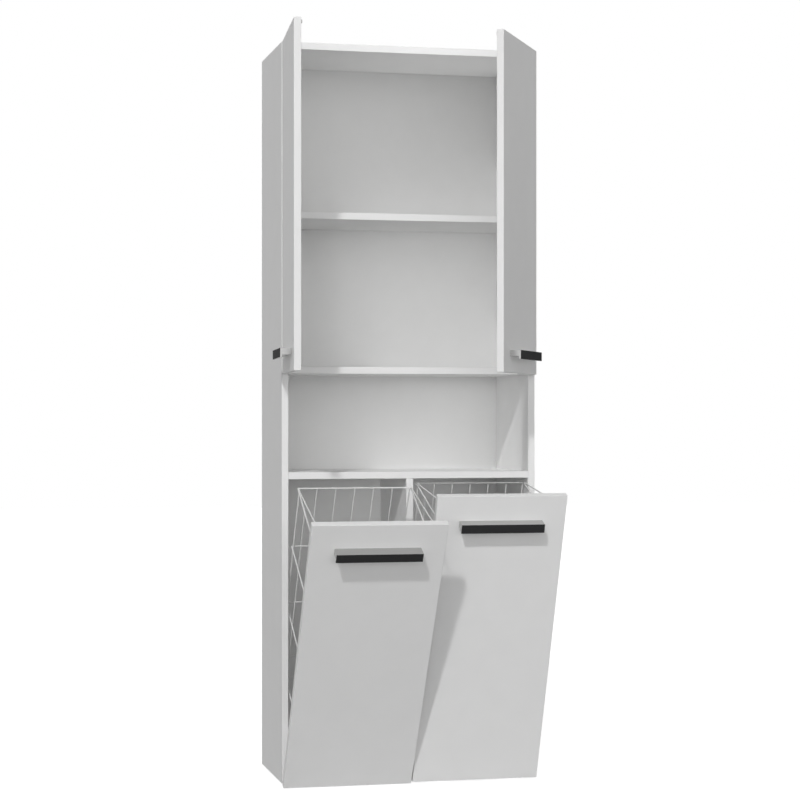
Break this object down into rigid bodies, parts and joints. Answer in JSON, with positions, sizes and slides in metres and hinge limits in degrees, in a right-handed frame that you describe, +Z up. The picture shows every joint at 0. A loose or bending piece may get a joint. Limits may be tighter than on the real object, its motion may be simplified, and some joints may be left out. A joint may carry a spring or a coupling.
{
  "type": "bathroom cabinet",
  "caption": "Tall white bathroom cabinet with a doored upper cupboard, an open niche and tilt-out laundry fronts that carry wire baskets.",
  "frame": {"origin": "On the floor, under the middle of the carcass, at the underside of the centre foot.", "axes": "+X to the right as seen from the front, +Y to the back (towards the wall), +Z up."},
  "size_m": [0.6482, 0.6521, 1.724],
  "materials": {
    "white_laminate": "white satin laminate on chipboard",
    "white_back_sheet": "white lacquered hardboard",
    "white_wire": "white plastic-coated steel wire",
    "bright_handle_body": "satin bright aluminium profile",
    "black_handle_plate": "black satin plate",
    "zinc_steel": "zinc-plated steel",
    "cast_zinc": "die-cast zinc",
    "beech": "plain beech",
    "white_plastic": "white moulded plastic",
    "clear_rubber": "translucent soft pad"
  },
  "bodies": {
    "carcass": {"back_nails": "zinc_steel", "bay_divider": "white_laminate", "bottom_panel": "white_laminate", "cam_bolts": "zinc_steel", "cam_locks": "cast_zinc", "cupboard_floor": "white_laminate", "cupboard_shelf": "white_laminate", "dowels": "beech", "feet": "white_plastic", "hamper_hinge_leaves": "zinc_steel", "hamper_hinge_pins": "zinc_steel", "hardware_screws": "zinc_steel", "hinge_arms": "zinc_steel", "hinge_pins": "zinc_steel", "hinge_plates": "zinc_steel", "left_side_panel": "white_laminate", "lower_back_sheet": "white_back_sheet", "niche_floor": "white_laminate", "right_side_panel": "white_laminate", "shelf_pins": "zinc_steel", "stay_studs": "zinc_steel", "top_panel": "white_laminate", "upper_back_sheet": "white_back_sheet", "wall_brackets": "zinc_steel"},
    "left_door": {"left_door_bumpers": "clear_rubber", "left_door_handle": "bright_handle_body", "left_door_handle_face": "black_handle_plate", "left_door_hinge_cups": "zinc_steel", "left_door_panel": "white_laminate", "left_door_screws": "zinc_steel"},
    "right_door": {"right_door_bumpers": "clear_rubber", "right_door_handle": "bright_handle_body", "right_door_handle_face": "black_handle_plate", "right_door_hinge_cups": "zinc_steel", "right_door_panel": "white_laminate", "right_door_screws": "zinc_steel"},
    "left_hamper": {"left_hamper_basket_back": "white_wire", "left_hamper_basket_base": "white_wire", "left_hamper_basket_clips": "white_plastic", "left_hamper_basket_front": "white_wire", "left_hamper_basket_sides": "white_wire", "left_hamper_front": "white_laminate", "left_hamper_handle": "bright_handle_body", "left_hamper_handle_face": "black_handle_plate", "left_hamper_hinge_leaves": "zinc_steel", "left_hamper_screws": "zinc_steel", "left_hamper_stay": "zinc_steel"},
    "right_hamper": {"right_hamper_basket_back": "white_wire", "right_hamper_basket_base": "white_wire", "right_hamper_basket_clips": "white_plastic", "right_hamper_basket_front": "white_wire", "right_hamper_basket_sides": "white_wire", "right_hamper_front": "white_laminate", "right_hamper_handle": "bright_handle_body", "right_hamper_handle_face": "black_handle_plate", "right_hamper_hinge_leaves": "zinc_steel", "right_hamper_screws": "zinc_steel", "right_hamper_stay": "zinc_steel"}
  },
  "joints": [
    {"name": "left_door_hinge", "type": "hinge", "parent": "carcass", "child": "left_door", "pos_m": [-0.2915, -0.1515, 1.322], "axis": [0, 0, -1], "range_deg": [-95.1, 4.9]},
    {"name": "right_door_hinge", "type": "hinge", "parent": "carcass", "child": "right_door", "pos_m": [0.2915, -0.1515, 1.322], "axis": [0, 0, 1], "range_deg": [-59.3, 40.7]},
    {"name": "left_hamper_tilt", "type": "hinge", "parent": "carcass", "child": "left_hamper", "pos_m": [-0.15025, -0.1415, 0.0076], "axis": [1, 0, 0], "range_deg": [-30, 0]},
    {"name": "right_hamper_tilt", "type": "hinge", "parent": "carcass", "child": "right_hamper", "pos_m": [0.15025, -0.1415, 0.0076], "axis": [1, 0, 0], "range_deg": [-20, 10]}
  ]
}
